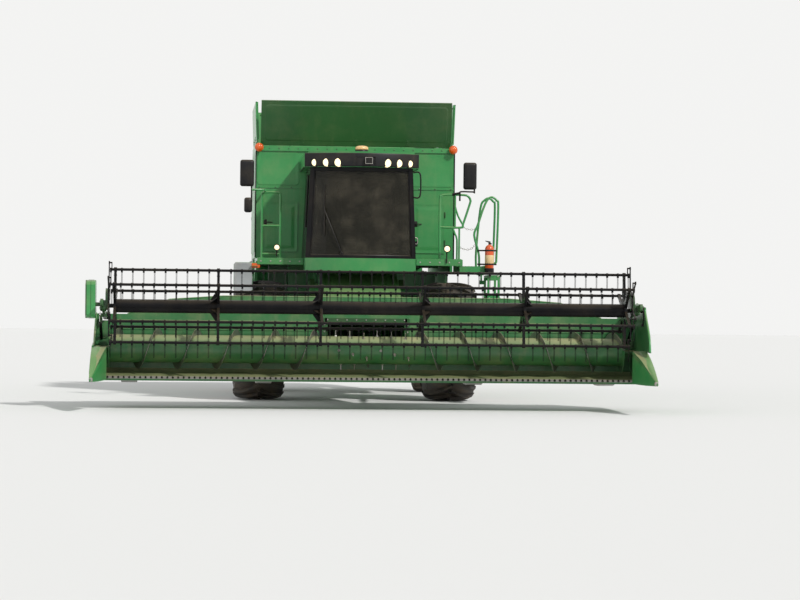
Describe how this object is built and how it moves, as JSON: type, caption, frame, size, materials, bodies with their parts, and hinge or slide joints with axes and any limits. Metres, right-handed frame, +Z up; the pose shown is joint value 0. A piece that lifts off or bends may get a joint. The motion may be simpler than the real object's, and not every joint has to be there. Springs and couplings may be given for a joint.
{
  "type": "combine harvester with grain header and pickup reel",
  "caption": "Self-propelled grain harvester: wide cutting header with tined pickup reel, cab, open grain tank, folded unloading tube, big front wheels and steered rear wheels.",
  "frame": {"origin": "on the ground, below the centre of the bounding box", "axes": "+Z up, the machine faces -Y with its header, +X is the machine's left side"},
  "size_m": [7.91, 10.35, 4.6508],
  "materials": {
    "green_paint": "gloss",
    "dark_green_paint": "gloss",
    "black_paint": "satin",
    "black_plastic": "satin",
    "tyre_rubber": "matte",
    "yellow_paint": "gloss",
    "window_glass": "clear",
    "seat_fabric": "matte",
    "lamp_lens": "gloss",
    "orange_lens": "gloss",
    "steel": "satin",
    "iron": "matte",
    "orange_paint": "gloss",
    "chrome_rod": "polished"
  },
  "bodies": {
    "chassis": {"chassis": "dark_green_paint", "rear_axle": "dark_green_paint", "separator": "green_paint", "tank": "green_paint", "engine": "iron", "rear_hood": "green_paint", "chopper": "green_paint", "deck": "green_paint", "rails": "green_paint", "mirrors": "black_plastic", "cab_body": "black_paint", "cab_roof": "green_paint", "cab_glass": "window_glass", "cab_seat": "seat_fabric", "lamps": "lamp_lens", "beacons": "orange_lens", "exhaust": "iron", "screen_housing": "green_paint", "extinguisher": "orange_paint"},
    "screen": {"screen": "black_paint"},
    "wheel_fl": {"tyre_fl": "tyre_rubber", "rim_fl": "yellow_paint"},
    "wheel_fr": {"tyre_fr": "tyre_rubber", "rim_fr": "yellow_paint"},
    "wheel_rl": {"tyre_rl": "tyre_rubber", "rim_rl": "yellow_paint"},
    "wheel_rr": {"tyre_rr": "tyre_rubber", "rim_rr": "yellow_paint"},
    "knuckle_left": {"knuckle_left": "dark_green_paint"},
    "knuckle_right": {"knuckle_right": "dark_green_paint"},
    "tie_rod": {"tie_rod": "dark_green_paint"},
    "door": {"door": "black_paint", "door_glass": "window_glass"},
    "shield_left": {"shield_left": "green_paint"},
    "shield_right": {"shield_right": "green_paint"},
    "flap_front": {"flap_front": "dark_green_paint"},
    "flap_rear": {"flap_rear": "green_paint"},
    "flap_left": {"flap_left": "green_paint"},
    "flap_right": {"flap_right": "green_paint"},
    "unload_tube": {"unload_tube": "green_paint"},
    "ladder": {"ladder": "green_paint"},
    "header": {"feederhouse": "green_paint", "header_frame": "green_paint", "cutterbar": "steel"},
    "header_auger": {"header_auger": "green_paint", "auger_flights": "green_paint"},
    "lift_barrels": {"lift_barrels": "black_paint"},
    "lift_rods": {"lift_rods": "chrome_rod"},
    "reel_arms": {"reel_arms": "dark_green_paint"},
    "reel_carriage": {"reel_carriage": "dark_green_paint"},
    "reel": {"reel": "black_paint"},
    "bat_1": {"bat_1": "black_paint"},
    "bat_2": {"bat_2": "black_paint"},
    "bat_3": {"bat_3": "black_paint"},
    "bat_4": {"bat_4": "black_paint"},
    "bat_5": {"bat_5": "black_paint"},
    "bat_6": {"bat_6": "black_paint"},
    "cam_stars": {"cam_stars": "black_paint"},
    "reel_barrels": {"reel_barrels": "black_paint"},
    "reel_rods": {"reel_rods": "chrome_rod"}
  },
  "joints": [
    {"name": "spin_fl", "type": "hinge", "parent": "chassis", "child": "wheel_fl", "pos_m": [1.28, -0.125, 0.925], "axis": [1, 0, 0], "continuous": true},
    {"name": "spin_fr", "type": "hinge", "parent": "chassis", "child": "wheel_fr", "pos_m": [-1.19, -0.125, 0.925], "axis": [1, 0, 0], "continuous": true},
    {"name": "steer", "type": "hinge", "parent": "chassis", "child": "knuckle_left", "pos_m": [1.165, 3.475, 0.64], "axis": [0, 0, 1], "range_deg": [-35, 35]},
    {"name": "steer_right", "type": "hinge", "parent": "chassis", "child": "knuckle_right", "pos_m": [-1.075, 3.475, 0.64], "axis": [0, 0, 1], "range_deg": [-35, 35]},
    {"name": "tie_rod_pivot", "type": "hinge", "parent": "knuckle_left", "child": "tie_rod", "pos_m": [1.165, 3.685, 0.5], "axis": [0, 0, 1], "range_deg": [-35, 35]},
    {"name": "spin_rl", "type": "hinge", "parent": "knuckle_left", "child": "wheel_rl", "pos_m": [1.425, 3.475, 0.64], "axis": [1, 0, 0], "continuous": true},
    {"name": "spin_rr", "type": "hinge", "parent": "knuckle_right", "child": "wheel_rr", "pos_m": [-1.335, 3.475, 0.64], "axis": [1, 0, 0], "continuous": true},
    {"name": "door_swing", "type": "hinge", "parent": "chassis", "child": "door", "pos_m": [0.872, -0.553, 2.87], "axis": [-0.0441, 0, 0.999], "range_deg": [0, 75]},
    {"name": "shield_left_lift", "type": "hinge", "parent": "chassis", "child": "shield_left", "pos_m": [1.605, 2.375, 2.197], "axis": [0, -1, 0], "range_deg": [0, 85]},
    {"name": "shield_right_lift", "type": "hinge", "parent": "chassis", "child": "shield_right", "pos_m": [-1.515, 2.375, 2.197], "axis": [0, 1, 0], "range_deg": [0, 85]},
    {"name": "flap_front_fold", "type": "hinge", "parent": "chassis", "child": "flap_front", "pos_m": [0.045, -0.095, 3.975], "axis": [-1, 0, 0], "range_deg": [0, 112]},
    {"name": "flap_rear_fold", "type": "hinge", "parent": "chassis", "child": "flap_rear", "pos_m": [0.045, 2.155, 3.975], "axis": [1, 0, 0], "range_deg": [0, 112]},
    {"name": "flap_left_fold", "type": "hinge", "parent": "chassis", "child": "flap_left", "pos_m": [1.575, 1.025, 4.02], "axis": [0, -1, 0], "range_deg": [0, 92]},
    {"name": "flap_right_fold", "type": "hinge", "parent": "chassis", "child": "flap_right", "pos_m": [-1.485, 1.025, 4.02], "axis": [0, 1, 0], "range_deg": [0, 92]},
    {"name": "unload_swing", "type": "hinge", "parent": "chassis", "child": "unload_tube", "pos_m": [1.415, 0.355, 3.6], "axis": [0, 0, -1], "range_deg": [0, 100]},
    {"name": "ladder_swing", "type": "hinge", "parent": "chassis", "child": "ladder", "pos_m": [1.935, -1.069, 1.9], "axis": [0, 0, -1], "range_deg": [0, 90]},
    {"name": "screen_spin", "type": "hinge", "parent": "chassis", "child": "screen", "pos_m": [-1.455, 2.725, 2.9], "axis": [1, 0, 0], "continuous": true},
    {"name": "feeder_lift", "type": "hinge", "parent": "chassis", "child": "header", "pos_m": [0.045, -0.775, 1.7], "axis": [-1, 0, 0], "range_deg": [-5, 15]},
    {"name": "auger_spin", "type": "hinge", "parent": "header", "child": "header_auger", "pos_m": [0.045, -3.305, 0.84], "axis": [1, 0, 0], "continuous": true},
    {"name": "lift_barrel_tilt", "type": "hinge", "parent": "chassis", "child": "lift_barrels", "pos_m": [0.045, -0.575, 0.78], "axis": [-1, 0, 0], "range_deg": [-5, 13]},
    {"name": "lift_rod_slide", "type": "slide", "parent": "lift_barrels", "child": "lift_rods", "axis": [0, -0.997, 0.0775], "range_m": [-0.08, 0.24]},
    {"name": "reel_lift", "type": "hinge", "parent": "header", "child": "reel_arms", "pos_m": [0.045, -2.925, 1.3], "axis": [-1, 0, 0], "range_deg": [-8, 20]},
    {"name": "reel_slide", "type": "slide", "parent": "reel_arms", "child": "reel_carriage", "axis": [0, -0.9923, 0.124], "range_m": [-0.05, 0.35]},
    {"name": "reel_spin", "type": "hinge", "parent": "reel_carriage", "child": "reel", "pos_m": [0.045, -4.125, 1.45], "axis": [1, 0, 0], "continuous": true},
    {"name": "bat_1_turn", "type": "hinge", "parent": "reel", "child": "bat_1", "pos_m": [0.045, -4.07612, 1.95765], "axis": [1, 0, 0], "continuous": true},
    {"name": "bat_2_turn", "type": "hinge", "parent": "reel", "child": "bat_2", "pos_m": [0.045, -4.5402, 1.74616], "axis": [1, 0, 0], "continuous": true},
    {"name": "bat_3_turn", "type": "hinge", "parent": "reel", "child": "bat_3", "pos_m": [0.045, -4.58908, 1.23851], "axis": [1, 0, 0], "continuous": true},
    {"name": "bat_4_turn", "type": "hinge", "parent": "reel", "child": "bat_4", "pos_m": [0.045, -4.17388, 0.94235], "axis": [1, 0, 0], "continuous": true},
    {"name": "bat_5_turn", "type": "hinge", "parent": "reel", "child": "bat_5", "pos_m": [0.045, -3.7098, 1.15384], "axis": [1, 0, 0], "continuous": true},
    {"name": "bat_6_turn", "type": "hinge", "parent": "reel", "child": "bat_6", "pos_m": [0.045, -3.66092, 1.66149], "axis": [1, 0, 0], "continuous": true},
    {"name": "star_spin", "type": "hinge", "parent": "reel_carriage", "child": "cam_stars", "pos_m": [0.045, -4.125, 1.545], "axis": [1, 0, 0], "continuous": true},
    {"name": "reel_barrel_tilt", "type": "hinge", "parent": "header", "child": "reel_barrels", "pos_m": [0.045, -3.125, 0.98], "axis": [-1, 0, 0], "range_deg": [-8, 20]},
    {"name": "reel_rod_slide", "type": "slide", "parent": "reel_barrels", "child": "reel_rods", "axis": [0, -0.8708, 0.4916], "range_m": [-0.06, 0.14]}
  ],
  "couplings": [
    {"joint": "steer_right", "follows": "steer", "ratio": 1},
    {"joint": "tie_rod_pivot", "follows": "steer", "ratio": -1},
    {"joint": "lift_barrel_tilt", "follows": "feeder_lift", "ratio": 0.82},
    {"joint": "lift_rod_slide", "follows": "feeder_lift", "m_per_rad": 0.872},
    {"joint": "reel_barrel_tilt", "follows": "reel_lift", "ratio": 0.96},
    {"joint": "reel_rod_slide", "follows": "reel_lift", "m_per_rad": 0.373},
    {"joint": "star_spin", "follows": "reel_spin", "ratio": 1},
    {"joint": "bat_1_turn", "follows": "reel_spin", "ratio": -1},
    {"joint": "bat_2_turn", "follows": "reel_spin", "ratio": -1},
    {"joint": "bat_3_turn", "follows": "reel_spin", "ratio": -1},
    {"joint": "bat_4_turn", "follows": "reel_spin", "ratio": -1},
    {"joint": "bat_5_turn", "follows": "reel_spin", "ratio": -1},
    {"joint": "bat_6_turn", "follows": "reel_spin", "ratio": -1}
  ]
}
